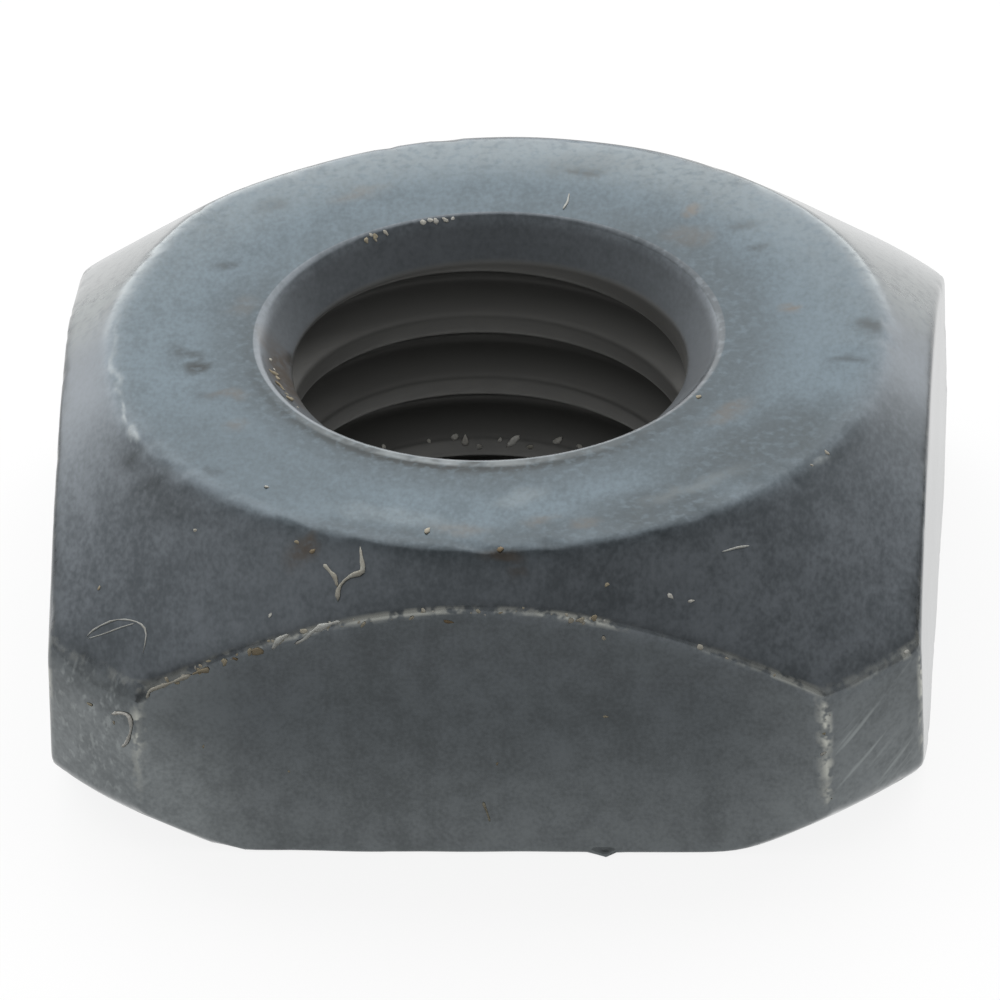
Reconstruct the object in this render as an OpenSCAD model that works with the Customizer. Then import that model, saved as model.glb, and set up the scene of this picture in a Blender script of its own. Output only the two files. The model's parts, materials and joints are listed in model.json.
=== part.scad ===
// Square nut of steel, in one piece. Its corners are turned round, a wide chamfer leaves a round top
// face, a small chamfer breaks the bottom corners, and the tapped hole is countersunk at both ends.
// The origin is on the hole's axis, at the bearing face, with +Z towards the top face.

/* [Body] */
// Width of the nut across its flats
across_flats = 15; // [12:0.5:20]
// Height from the bearing face to the top face
nut_height = 5.65; // [4.5:0.05:9]
// Length that the turning takes off each corner, along the diagonal
corner_cut = 1.05; // [0.5:0.05:2]
// Radius of the softened edges that go round the turned shape
edge_r = 0.35; // [0.1:0.05:0.6]

/* [Chamfers] */
// Slope of both chamfers, measured from the faces
chamfer_angle = 40; // [32:1:50]
// Height of the top chamfer, measured at the turned corners
top_chamfer = 2.4; // [1:0.05:3]
// Height of the bottom chamfer, measured at the turned corners
bottom_chamfer = 0.8; // [0.3:0.05:1.2]

/* [Thread] */
// Outer diameter of the thread
thread_d = 8; // [6:0.5:9]
// Pitch of the thread, which is right-handed
thread_pitch = 1.25; // [0.75:0.25:1.5]
// Included angle of the countersink at each end of the hole
mouth_angle = 90; // [60:5:120]

/* [Hidden] */
$fn = 96;

// Steps in the arc that softens one edge
edge_steps = 4;
// Largest share of a straight edge that one such arc may take up
edge_share = 0.45;
// Length by which a cutting shape runs past the face that it cuts
overrun = 1;
steel_colour = [0.37, 0.40, 0.42];

corner_r = across_flats * sqrt(2) / 2 - corner_cut;
top_face_r = corner_r - top_chamfer / tan(chamfer_angle);
bottom_face_r = corner_r - bottom_chamfer / tan(chamfer_angle);

// The hole is drilled at the thread's outer diameter less one pitch, ready for the tap
bore_r = (thread_d - thread_pitch) / 2;
mouth_r = thread_d / 2;
mouth_slope = tan(mouth_angle / 2);
mouth_depth = (mouth_r - bore_r) / mouth_slope;

function unit(v) = v / norm(v);

// Arc that softens one corner of an outline, as points from its first edge to its second.
// The radius is limited to what the shorter edge can carry.
function soft_corner(before, corner, after) =
    let (
        to_before = unit(before - corner),
        to_after = unit(after - corner),
        half_angle = acos(to_before * to_after) / 2,
        shorter_edge = min(norm(before - corner), norm(after - corner)),
        radius = min(edge_r, edge_share * shorter_edge * tan(half_angle)),
        reach = radius / tan(half_angle),
        centre = corner + unit(to_before + to_after) * radius / sin(half_angle),
        first = corner + to_before * reach - centre,
        last = corner + to_after * reach - centre
    )
    [for (i = [0 : edge_steps])
        let (share = i / edge_steps)
        centre + radius * unit(first * (1 - share) + last * share)];

// Half section of the turned shape, from the axis at the bottom to the axis at the top
turned_corners = [
    [0, 0],
    [bottom_face_r, 0],
    [corner_r, bottom_chamfer],
    [corner_r, nut_height - top_chamfer],
    [top_face_r, nut_height],
    [0, nut_height]
];
last_corner = len(turned_corners) - 1;

module turned_shape() {
    rotate_extrude()
        polygon([
            turned_corners[0],
            for (i = [1 : last_corner - 1])
                each soft_corner(turned_corners[i - 1], turned_corners[i], turned_corners[i + 1]),
            turned_corners[last_corner]
        ]);
}

module square_bar() {
    translate([-across_flats / 2, -across_flats / 2, 0])
        cube([across_flats, across_flats, nut_height]);
}

// Countersink in the bottom face, narrowing upwards from the thread's outer diameter to the bore
module mouth() {
    translate([0, 0, -overrun])
        cylinder(r1 = mouth_r + overrun * mouth_slope, r2 = bore_r, h = mouth_depth + overrun);
}

module hole() {
    translate([0, 0, -overrun])
        cylinder(r = bore_r, h = nut_height + 2 * overrun);
    mouth();
    translate([0, 0, nut_height])
        mirror([0, 0, 1])
            mouth();
}

module square_nut() {
    color(steel_colour)
        difference() {
            intersection() {
                square_bar();
                turned_shape();
            }
            hole();
        }
}

square_nut();
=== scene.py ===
"""Square nut of dark, oxide-finished steel: worn rim and edges, a tapped hole, crumbs and lint on it. Some
highlights and shade are painted into its colours.
"""
import json
import math

import bpy
import numpy as np
from mathutils import Matrix, Vector
from mathutils.bvhtree import BVHTree

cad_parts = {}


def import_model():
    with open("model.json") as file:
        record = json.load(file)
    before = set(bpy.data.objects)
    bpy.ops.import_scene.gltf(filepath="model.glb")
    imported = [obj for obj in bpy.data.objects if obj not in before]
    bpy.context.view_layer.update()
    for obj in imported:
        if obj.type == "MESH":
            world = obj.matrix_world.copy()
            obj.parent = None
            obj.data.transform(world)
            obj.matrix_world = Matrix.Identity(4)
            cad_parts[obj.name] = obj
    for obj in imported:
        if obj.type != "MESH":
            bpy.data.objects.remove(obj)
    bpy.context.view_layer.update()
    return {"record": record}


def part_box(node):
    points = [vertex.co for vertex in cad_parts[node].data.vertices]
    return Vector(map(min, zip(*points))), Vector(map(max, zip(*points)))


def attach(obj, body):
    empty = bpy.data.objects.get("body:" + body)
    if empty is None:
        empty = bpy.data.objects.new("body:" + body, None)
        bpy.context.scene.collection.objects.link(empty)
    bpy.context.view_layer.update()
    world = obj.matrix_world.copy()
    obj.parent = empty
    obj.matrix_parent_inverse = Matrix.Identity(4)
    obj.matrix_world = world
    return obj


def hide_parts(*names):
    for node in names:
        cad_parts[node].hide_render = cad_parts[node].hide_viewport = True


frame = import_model()

# Sizes of the part, in millimetres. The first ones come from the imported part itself.
MM = 0.001
nut_low, nut_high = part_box("square_nut")
mounts = {mount["name"]: mount for mount in frame["record"]["mounts"]}
HALF_WIDTH = (nut_high[0] - nut_low[0]) / 2 / MM
HEIGHT = nut_high[2] / MM
BORE_R = mounts["thread"]["dims"]["r_mm"]
MOUTH_DEPTH = (HEIGHT - mounts["thread"]["dims"]["length_mm"]) / 2
MOUTH_R = BORE_R + MOUTH_DEPTH
CORNER_CUT = 1.05
CHAMFER_SLOPE = math.radians(40)
TOP_CHAMFER = 2.4
BOTTOM_CHAMFER = 0.8
CORNER_R = HALF_WIDTH * math.sqrt(2) - CORNER_CUT
TOP_FACE_R = CORNER_R - TOP_CHAMFER / math.tan(CHAMFER_SLOPE)
BOTTOM_FACE_R = CORNER_R - BOTTOM_CHAMFER / math.tan(CHAMFER_SLOPE)
# Angle from the middle of a flat to the edge where it meets a turned corner
FLAT_EDGE_ANGLE = math.acos(HALF_WIDTH / CORNER_R)

# Thread: a 60 degree V groove on a right-hand helix
PITCH = 1.25
FLANK_SLOPE = math.tan(math.radians(60))
ROOT_HALF_WIDTH = PITCH / 16
GROOVE_DEPTH = MOUTH_R - BORE_R
GROOVE_HALF_WIDTH = ROOT_HALF_WIDTH + GROOVE_DEPTH / FLANK_SLOPE
GROOVE_HEIGHT_AT_BACK = 0.65
THREAD_SOFTNESS = 0.06
THREAD_FADE = 0.2
# Softness of the bend between countersink and bore, and how far before that bend the thread begins
MOUTH_SOFTNESS = 0.03
THREAD_LEAD = 0.03

# The drill ran a little off centre, towards the back left
HOLE_DRIFT = (-0.13, 0.22)
# Radius of the hole's lips, each of which is an eighth of a round, and how much of the face a lip takes up
LIP_R = 0.20
LIP_WIDTH = LIP_R * math.tan(math.pi / 8)

# In what follows, a reach is a pair: the place where a mask begins and the one where it is full.

# The rim is painted bare and bright around this angle, at the front left: partly wear, partly a painted
# highlight. Its reach is the distance from the lip.
GLINT_ANGLE = math.radians(258)
GLINT_SPREAD = 0.6
GLINT_STRENGTH = 0.72
RIM_REACH = (0.13, 0.06)
# The rest of the lip is darkened, more so on the right
LIP_DARKENING = 0.55
LIP_DARKENING_LEAN = 0.4
# Dirt lies on the top face around the rim, less of it around this angle at the back
RING_REACH = (1.35, 0.25)
RING_STRENGTH = 0.42
CLEAN_ANGLE = math.radians(110)
CLEAN_SPREAD = math.radians(48)
CLEAN_POWER = 4
CLEAN_SHARE = 0.85
# Dark line of dirt close to the rim, at the front
LINE_REACH = (0.34, 0.16)
LINE_STRENGTH = 0.55
LINE_SPREAD = 1.0
# The film is thinner and paler towards the outer edge of the top face, at the back
PALE_REACH = (0.9, 2.4)
PALE_STRENGTH = 0.31
PALE_ANGLE = math.radians(85)
PALE_SPREAD = 1.05
# Painted shade in the countersink and grime in the bore: the shade's reach down the countersink, and the
# grime's, past the countersink's end
CONE_REACH = (0.05, 0.2)
BORE_REACH = (-0.08, 0.02)

# Wear of the edges: the exponents of the soft minimum, where a higher one is a sharper edge
EDGE_SHARPNESS = 76
SIDE_SHARPNESS = 380
# Exponents of the masks that show how near an edge is
WEAR_SHARPNESS = 34
SIDE_WEAR_SHARPNESS = 130
# The sharpness varies round the axis, in waves of this length
EDGE_UNEVENNESS = 0.16
EDGE_WAVE = 2.5
# Share of the sharpness that the foot has lost
FOOT_LOSS = 0.2
# The sine of a ray's angle, over which the upper edge and the foot take over from the edges at the side
UPPER_RAYS = (0.35, 0.75)
FOOT_RAYS = (0.10, -0.35)

# Corners that were knocked rounder than the rest: angle round the axis, width of the spell and share of the
# sharpness that is lost. The front left one has lost most.
FRONT_LEFT = math.radians(225)
SOFT_CORNERS = [
    (FRONT_LEFT, 0.30, 0.84),
    (math.radians(135), 0.30, 0.35),
    (math.radians(315), 0.25, 0.35),
]
# The top chamfer was cut a little less deep at the back, least of all at the back left corner. Its reach is
# the sine of the angle.
BACK_FULLNESS = 0.055
FULLNESS_REACH = (-0.2, 0.7)
FULLNESS_LEAN = 0.5
CORNER_FULLNESS = 0.08
FULLEST_ANGLE = math.radians(140)
FULLEST_SPREAD = 0.20
# The film is smoother on the back half of the top chamfer, by the sine of the angle
SMOOTH_REACH = (0.12, 0.60)
# It is also painted paler towards the two back corners, as a painted highlight, by the sine and the cosine of
# the angle. The lean shifts the sine on either side.
BACK_HIGHLIGHT_REACH = (0.0, 0.35)
BACK_HIGHLIGHT_SIDES = (0.25, 0.60)
BACK_HIGHLIGHT_LEAN = 0.05
# The film on the sides is painted paler towards the foot, by height, and towards the corners, by the distance
# from the middle of the flat: partly rubbed film, partly painted highlight. The foot of the front left corner
# and the right flat, which the cosine of the angle picks out, are painted paler still: painted highlights
# where the floor's reflection shows.
FOOT_HIGHLIGHT = 0.45
FOOT_HIGHLIGHT_REACH = (3.0, 0.1)
CORNER_RUB_AND_HIGHLIGHT = 0.55
CORNER_RUB_AND_HIGHLIGHT_REACH = (3.6, 6.9)
LEFT_FOOT_SPREAD = 0.2
LEFT_FOOT_REACH = (3.0, 1.2)
RIGHT_FLAT_HIGHLIGHT = 0.8
RIGHT_FLAT_REACH = (0.785, 0.80)
# The turned corners, by the distance from the middle of the flat
CORNER_REACH = (5.9, 6.3)

# Waviness of the chamfers and sides, and dents along the edges: share of a ray's length, length of the waves,
# and for the dents their reach in the waves' own values
WAVINESS = 0.0016
WAVINESS_LENGTH = 2.6
DENT_DEPTH = 0.006
DENT_LENGTH = 0.55
DENT_REACH = (0.6, 2.0)

# Burr on the front foot edge: place along the edge, half width, height above the floor, half height, length
BURR_X = 2.05
BURR_WIDTH = 0.13
BURR_HEIGHT = 0.04
BURR_RISE = 0.07
BURR_LENGTH = 0.20
# The front is what lies further out than this share of the half width
FRONT_SHARE = 0.9

# Seeds of the waves and of the random draws
EDGE_SEED = 3
WAVINESS_SEED = 5
DENT_SEED = 8
CRUMB_PLACE_SEED = 41
CRUMB_SHAPE_SEED = 43
CRUMB_LUMP_SEED = 47
LINT_SEED = 50
MARK_SEEDS = (61, 62, 63)


# Camera, worked out from the photograph

IMAGE_PIXELS = 1000
PIXELS_PER_MM = 58.06
TOP_CENTRE_PIXEL = (496.0, 342.7)
CAMERA_AZIMUTH = math.radians(3.28)
CAMERA_ELEVATION = math.radians(32.17)
CAMERA_ROLL = math.radians(1.51)
CAMERA_LENS = 1500
SENSOR_WIDTH = 36


def photo_camera():
    """Camera at the photograph's angle. Its axes are those of the azimuth and elevation, turned by the roll,
    and it is aimed so that the middle of the top face falls on its own pixel."""
    back = Vector((math.sin(CAMERA_AZIMUTH) * math.cos(CAMERA_ELEVATION),
                   -math.cos(CAMERA_AZIMUTH) * math.cos(CAMERA_ELEVATION),
                   math.sin(CAMERA_ELEVATION)))
    level_right = Vector((math.cos(CAMERA_AZIMUTH), math.sin(CAMERA_AZIMUTH), 0))
    level_up = back.cross(level_right)
    right = level_right * math.cos(CAMERA_ROLL) - level_up * math.sin(CAMERA_ROLL)
    up = level_right * math.sin(CAMERA_ROLL) + level_up * math.cos(CAMERA_ROLL)
    middle = IMAGE_PIXELS / 2
    shift_right = (middle - TOP_CENTRE_PIXEL[0]) / PIXELS_PER_MM * MM
    shift_down = (middle - TOP_CENTRE_PIXEL[1]) / PIXELS_PER_MM * MM
    aim = Vector((0, 0, HEIGHT * MM)) + right * shift_right - up * shift_down
    distance = CAMERA_LENS * IMAGE_PIXELS / PIXELS_PER_MM / SENSOR_WIDTH * MM
    data = bpy.data.cameras.new("camera")
    data.lens = CAMERA_LENS
    data.sensor_width = SENSOR_WIDTH
    camera = bpy.data.objects.new("camera", data)
    axes = Matrix((right, up, back)).transposed().to_4x4()
    camera.matrix_world = Matrix.Translation(aim + back * distance) @ axes
    bpy.context.collection.objects.link(camera)
    bpy.context.scene.camera = camera


# Surface tools

# Lengths of the waves in one field, as shares of the length that is asked for
WAVE_LENGTHS = (0.7, 1.5)
# How much closer rows lie at both ends of a span: at 1 they would meet there
CROWDING = 0.8


def waves(points, wavelength, seed, count=24):
    """Smooth pseudo-random field of the points: a sum of sine waves of about the given wavelength, with
    seeded directions and phases, scaled so that its spread is about one."""
    draw = np.random.default_rng(seed)
    directions = draw.normal(size=(count, 3))
    directions /= np.linalg.norm(directions, axis=1)[:, None]
    lengths = wavelength * draw.uniform(*WAVE_LENGTHS, count)
    phases = draw.uniform(0, 2 * np.pi, count)
    angles = points @ (directions * (2 * np.pi / lengths)[:, None]).T + phases
    return np.sin(angles).sum(-1) * math.sqrt(2 / count)


def between(low, high, value):
    """Smooth step of value from 0 at low to 1 at high."""
    share = np.clip((value - low) / (high - low), 0, 1)
    return share * share * (3 - 2 * share)


def bell(place, middle, spread, power=2):
    """Bell curve of place, 1 at its middle: the exponential of minus a power of the distance in spreads."""
    return np.exp(-((place - middle) / spread) ** power)


def soft_positive(value, softness):
    """The value above zero and zero below, with a soft bend between: half the sum of the value and of its
    hypotenuse with the softness."""
    return (value + np.sqrt(value ** 2 + softness ** 2)) / 2


def crowded(count):
    """Count shares from 0 to just under 1, closer together at both ends: even steps less a sine wave."""
    share = np.arange(count) / count
    return share - CROWDING * np.sin(2 * np.pi * share) / (2 * np.pi)


def new_piece(name, points_mm, faces, material, attributes=None):
    """Mesh object at the origin from points in millimetres and a list of face arrays, smooth shaded, with one
    float attribute for each named array."""
    mesh = bpy.data.meshes.new(name)
    mesh.from_pydata((points_mm * MM).tolist(), [], [face for some in faces for face in some.tolist()])
    mesh.polygons.foreach_set("use_smooth", np.ones(len(mesh.polygons), dtype=bool))
    for label, values in (attributes or {}).items():
        layer = mesh.attributes.new(label, "FLOAT", "POINT")
        layer.data.foreach_set("value", values.astype(np.float32).ravel())
    mesh.materials.append(material)
    mesh.update()
    piece = bpy.data.objects.new(name, mesh)
    bpy.context.collection.objects.link(piece)
    return piece


# The nut's skin

ANGLE_COUNT = 336
TOP_ROWS = 36
CHAMFER_ROWS = 26
SIDE_ROWS = 30
BEVEL_ROWS = 9
BOTTOM_ROWS = 14
LIP_ROWS = 5
BORE_ROWS = 168
# Point of the half section, as radius and height, that the rays leave from
SECTION_MIDDLE = (5.6, 2.8)
# Angle by which the bottom chamfer's rays run past it at both ends
BEVEL_MARGIN = 0.03
# Columns lie closer together at the edges between flats and corners: how many times the usual count is added
# there, the angle over which it is, and the count of fine steps that the columns are chosen from
EDGE_CROWDING = 1.6
EDGE_CROWDING_SPREAD = 0.035
FINE_STEPS = 7200


def from_flat(angle):
    """Angle from the middle of the nearest flat, to either side: what is left after whole quarter turns."""
    return (angle + np.pi / 4) % (np.pi / 2) - np.pi / 4


def turning_angles():
    """Angles round the axis, closer together where a flat meets a turned corner: equal steps of the summed
    density, which is one plus a bell around each such edge."""
    fine = np.linspace(0, 2 * np.pi, FINE_STEPS + 1)
    density = 1 + EDGE_CROWDING * bell(np.abs(from_flat(fine)), FLAT_EDGE_ANGLE, EDGE_CROWDING_SPREAD)
    total = np.concatenate([[0], np.cumsum((density[1:] + density[:-1]) / 2)])
    steps = np.arange(ANGLE_COUNT) / ANGLE_COUNT * total[-1]
    return np.interp(steps, total, fine)


def side_radius(angle, sharpness):
    """Distance from the axis to the side: the soft minimum of the flat's distance and the corner's radius.
    Also gives how near each point is to the edge between them, from 0 to 1."""
    flat = (CORNER_R * np.cos(from_flat(angle)) / HALF_WIDTH) ** sharpness
    total = flat + 1
    return CORNER_R * total ** (-1 / sharpness), 4 * flat / total ** 2


def section_rays(angle, side):
    """Angles of the rays in the half section, from the top lip round the outside to the bottom lip, for every
    angle round the axis. Each face has its own count of rays, closer together at its two edges."""
    middle_r, middle_z = SECTION_MIDDLE
    slope = math.tan(CHAMFER_SLOPE)
    chamfer_z = HEIGHT - (side - TOP_FACE_R) * slope
    bevel_z = np.maximum(0, (side - BOTTOM_FACE_R) * slope)
    bottom_r = np.minimum(side, BOTTOM_FACE_R)

    def ray_to(radius, height):
        return np.arctan2(height - middle_z, radius - middle_r) * np.ones_like(angle)

    stops = [
        ray_to(MOUTH_R + LIP_WIDTH, HEIGHT),
        ray_to(TOP_FACE_R, HEIGHT),
        ray_to(side, chamfer_z),
        ray_to(side, bevel_z) + BEVEL_MARGIN,
        ray_to(bottom_r, 0) - BEVEL_MARGIN,
        ray_to(MOUTH_R + LIP_WIDTH, 0),
    ]
    counts = [TOP_ROWS, CHAMFER_ROWS, SIDE_ROWS, BEVEL_ROWS, BOTTOM_ROWS]
    return np.concatenate([
        first[:, None] + (last - first)[:, None] * crowded(count)
        for first, last, count in zip(stops, stops[1:], counts)
    ], axis=1)


def edge_sharpness(angle, along):
    """Sharpness of the edges at each ray: waves round the axis, less a share at the foot, and less a bell at
    each knocked corner for the edges at the side."""
    circle = np.stack([np.cos(angle), np.sin(angle), np.zeros_like(angle)], axis=-1) * CORNER_R
    even = EDGE_SHARPNESS * np.exp(EDGE_UNEVENNESS * waves(circle, EDGE_WAVE, EDGE_SEED))
    beside = even
    for corner, width, loss in SOFT_CORNERS:
        beside = beside * (1 - loss * bell(angle, corner, width))
    above = between(*UPPER_RAYS, along)
    below = between(*FOOT_RAYS, along)
    return even[:, None] * (above + below * (1 - FOOT_LOSS)) + beside[:, None] * (1 - above - below)


def outer_skin(angle):
    """Outside of the nut as a function of the angle round the axis and of a ray's angle in the half section.
    Each ray leaves the middle of the section's metal. Top, top chamfer, side, bottom chamfer and bottom each
    stop it at their own distance, and the skin lies at the soft minimum of these: the inverse of the p-norm
    of their inverses. So all edges come out rounded. Gives radius, height and the masks of the outside."""
    middle_r, middle_z = SECTION_MIDDLE
    side, _ = side_radius(angle, SIDE_SHARPNESS)
    _, side_edge = side_radius(angle, SIDE_WEAR_SHARPNESS)
    tilt_r, tilt_z = math.sin(CHAMFER_SLOPE), math.cos(CHAMFER_SLOPE)
    fuller = BACK_FULLNESS * (1 + FULLNESS_LEAN * np.cos(angle)) * between(*FULLNESS_REACH, np.sin(angle))
    fuller = fuller + CORNER_FULLNESS * bell(angle, FULLEST_ANGLE, FULLEST_SPREAD)
    chamfer_distance = (TOP_FACE_R - middle_r) * tilt_r + (HEIGHT - middle_z) * tilt_z + fuller
    planes = [
        (0, 1, HEIGHT - middle_z),
        (tilt_r, tilt_z, chamfer_distance[:, None]),
        (1, 0, (side - middle_r)[:, None]),
        (tilt_r, -tilt_z, (BOTTOM_FACE_R - middle_r) * tilt_r + middle_z * tilt_z),
        (0, -1, middle_z),
    ]
    rays = section_rays(angle, side)
    across, along = np.cos(rays), np.sin(rays)
    sharpness = edge_sharpness(angle, along)
    inverse = np.stack([
        np.maximum(0, normal_r * across + normal_z * along) / distance
        for normal_r, normal_z, distance in planes
    ])
    nearest = inverse.max(0)
    ratio = inverse / nearest
    reach = (ratio ** sharpness).sum(0) ** (-1 / sharpness) / nearest

    share = ratio ** WEAR_SHARPNESS
    share /= share.sum(0)
    top, chamfer, flank, bevel, bottom = share
    face_edge = 4 * top * chamfer
    chamfer_edge = 4 * chamfer * flank
    corner_edge = flank * side_edge[:, None]
    foot_edge = 4 * (flank * bevel + flank * bottom + bevel * bottom)
    knocked = np.clip(face_edge + chamfer_edge + corner_edge + foot_edge, 0, 1)
    radius, height = middle_r + reach * across, middle_z + reach * along
    points = np.stack([radius * np.cos(angle)[:, None], radius * np.sin(angle)[:, None], height], axis=-1)
    wavy = WAVINESS * waves(points, WAVINESS_LENGTH, WAVINESS_SEED) * (1 - top) * (1 - bottom)
    dented = DENT_DEPTH * knocked * between(*DENT_REACH, waves(points, DENT_LENGTH, DENT_SEED))
    reach = reach * (1 + wavy)
    reach = reach * (1 - dented)
    radius, height = middle_r + reach * across, middle_z + reach * along
    masks = {"top_face": top, "chamfer_edge": chamfer_edge, "corner_edge": corner_edge}
    masks.update(film_and_highlight_masks(angle, radius, height, share))
    return radius, height, masks


def film_and_highlight_masks(angle, radius, height, share):
    """Masks of the outside's film, from each face's share in a point: the sides, painted paler towards foot
    and corners as partly rubbed film and partly painted highlight, the turned corners, and the smoother back
    of the top chamfer with its corners painted paler as a painted highlight."""
    chamfer, flank, sides = share[1], share[2], share[2:].sum(0)
    off_middle = np.abs(radius * np.sin(from_flat(angle))[:, None])
    left_foot = bell(angle, FRONT_LEFT, LEFT_FOOT_SPREAD)[:, None]
    right_flat = between(*RIGHT_FLAT_REACH, np.cos(angle))[:, None]
    # Paler foot, corners, front left foot and right flat: partly rubbed film, partly painted highlight
    rubbed = FOOT_HIGHLIGHT * between(*FOOT_HIGHLIGHT_REACH, height) + CORNER_RUB_AND_HIGHLIGHT * between(*CORNER_RUB_AND_HIGHLIGHT_REACH, off_middle)
    rubbed = rubbed + left_foot * between(*LEFT_FOOT_REACH, height)
    rubbed = rubbed + RIGHT_FLAT_HIGHLIGHT * right_flat
    # Back corners of the top chamfer painted paler: a painted highlight
    paler = between(*BACK_HIGHLIGHT_REACH, np.sin(angle) - BACK_HIGHLIGHT_LEAN * np.cos(angle))
    paler = paler * between(*BACK_HIGHLIGHT_SIDES, np.abs(np.cos(angle)))
    return {
        "side": sides,
        "rubbed": np.clip(rubbed, 0, 1) * sides,
        "corner": between(*CORNER_REACH, off_middle) * flank,
        "smooth": chamfer * between(*SMOOTH_REACH, np.sin(angle))[:, None],
        "back_corner": chamfer * paler[:, None],
    }


def thread_groove(angle, height):
    """Depth of the thread's groove under the bore's wall. The distance along the axis to the helix's groove,
    which rises by one pitch a turn, gives a V with a flat root and a flat crest, both softened."""
    phase = height - GROOVE_HEIGHT_AT_BACK - PITCH * (angle - np.pi / 2) / (2 * np.pi)
    offset = np.abs((phase + PITCH / 2) % PITCH - PITCH / 2)
    flank = (GROOVE_HALF_WIDTH - offset) * FLANK_SLOPE
    deep = soft_positive(flank, THREAD_SOFTNESS)
    return GROOVE_DEPTH - soft_positive(GROOVE_DEPTH - deep, THREAD_SOFTNESS)


def bore_skin(angle):
    """Inside of the hole as a function of the angle and of the height, from the bottom lip to the top one.
    Each lip is an arc between the face and the countersink. The wall between them is the wider of bore and
    countersink, with the thread's groove added where the countersinks have ended."""
    swing = np.pi / 2 + np.pi / 4 * np.arange(LIP_ROWS + 1) / (LIP_ROWS + 1)
    lip_r = MOUTH_R + LIP_WIDTH + LIP_R * np.cos(swing)
    lip_drop = LIP_R * (1 - np.sin(swing))
    wall_drop = LIP_R * (1 - math.sin(math.pi * 3 / 4))
    height = np.linspace(wall_drop, HEIGHT - wall_drop, BORE_ROWS)[None, :]
    drop = np.minimum(height, HEIGHT - height)
    wall = BORE_R + soft_positive(MOUTH_R - drop - BORE_R, MOUTH_SOFTNESS)
    thread_top = MOUTH_DEPTH - THREAD_LEAD
    started = between(thread_top, thread_top + THREAD_FADE, drop)
    wall = wall + started * thread_groove(angle[:, None], height)
    one = np.ones((len(angle), 1))
    radius = np.concatenate([one * lip_r, wall, one * lip_r[:0:-1]], axis=1)
    heights = np.concatenate([one * lip_drop, one * height, one * (HEIGHT - lip_drop[:0:-1])], axis=1)
    return radius, heights


# Stains, wear, painted highlights and painted shade on the skin

# Marks on the top face, its chamfer and the countersink, in plan: x, y, half length, half width, turn in
# degrees and strength
DARK_MARKS = [
    (-5.10, -0.85, 0.28, 0.20, 50, 0.9), (-5.33, -0.36, 0.46, 0.18, -31, 0.6),
    (-4.75, 2.50, 0.34, 0.20, 10, 0.6), (-6.15, -3.38, 0.28, 0.24, 60, 0.6),
    (-4.65, -4.17, 0.26, 0.18, 0, 0.5), (-5.73, -4.15, 0.36, 0.30, 30, 0.5),
    (-4.09, 4.49, 0.32, 0.24, 30, 0.4), (1.29, 5.63, 0.44, 0.18, 8, 0.75),
    (1.25, 5.85, 1.00, 0.45, 8, 0.26), (4.13, 3.87, 0.30, 0.20, 10, 0.5),
    (4.36, 3.16, 0.26, 0.20, 0, 0.5), (6.44, 0.59, 0.26, 0.20, 0, 0.7),
    (6.07, -0.45, 0.42, 0.16, 15, 0.5), (4.60, -3.40, 2.40, 1.20, 40, 0.54),
    (-3.63, 0.25, 0.16, 0.16, 0, 0.9), (-5.40, -4.60, 0.80, 0.40, -40, 0.35),
    (-4.00, -3.90, 2.60, 1.60, -40, 0.22), (3.05, -5.28, 1.70, 0.85, 30, 0.58),
    (-1.66, -6.25, 2.40, 0.45, -15, 0.40), (1.10, -6.15, 1.40, 0.55, 10, 0.44),
    (-4.80, -1.75, 0.40, 0.28, 10, 0.35), (7.15, -1.80, 1.20, 0.70, 85, 0.26),
]
BROWN_MARKS = [
    (3.23, 4.35, 0.22, 0.18, 0, 0.6), (5.04, 1.16, 0.20, 0.16, 0, 0.7),
    (0.99, -5.68, 0.32, 0.14, 20, 0.35), (1.79, -5.81, 0.28, 0.13, 10, 0.30),
    (-0.35, -6.00, 0.60, 0.20, 0, 0.3), (0.36, -6.70, 0.35, 0.16, 0, 0.6),
    (-3.00, -6.28, 0.32, 0.18, 40, 0.7), (0.61, -6.96, 0.16, 0.14, 0, 0.5),
    (3.20, 3.50, 0.50, 0.40, 0, 0.25), (4.10, -2.20, 0.60, 0.25, 50, 0.35),
    (-3.60, -0.50, 1.10, 0.34, -70, 0.9), (-4.55, -1.70, 0.35, 0.20, 10, 0.4),
    (-4.35, -2.75, 0.30, 0.20, 0, 0.3), (-4.40, 1.20, 0.40, 0.25, 40, 0.2),
    (-2.60, 4.90, 0.60, 0.25, 25, 0.3),
]
PALE_MARKS = [
    (-6.53, -1.00, 0.95, 0.06, -82, 0.3), (-6.60, 0.30, 0.80, 0.08, 92, 0.2),
    (-6.30, -2.30, 0.36, 0.05, -70, 0.5), (-6.13, -2.90, 0.20, 0.06, -65, 0.7),
    (5.70, -3.62, 0.30, 0.07, 58, 0.6), (0.60, -5.00, 0.60, 0.25, 30, 0.12),
    (3.60, -4.60, 1.20, 0.20, 38, 0.12), (-1.50, -5.60, 1.20, 0.30, -14, 0.10),
    (-6.62, 1.95, 0.80, 0.18, 60, 0.40), (-6.55, 3.20, 0.75, 0.16, -60, 0.30),
    (-6.78, 0.90, 0.80, 0.14, 86, 0.25),
]
# A mark begins and is full at these shares of its size
MARK_REACH = (1.25, 0.35)
# Marks lie above this height, on the upward faces
MARK_FLOOR = 4.3
MARK_FLOOR_FADE = 0.3
# Waves that shift the marks: how far, and their length
MARK_WARP = 0.05
MARK_WARP_LENGTH = 0.6
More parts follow.
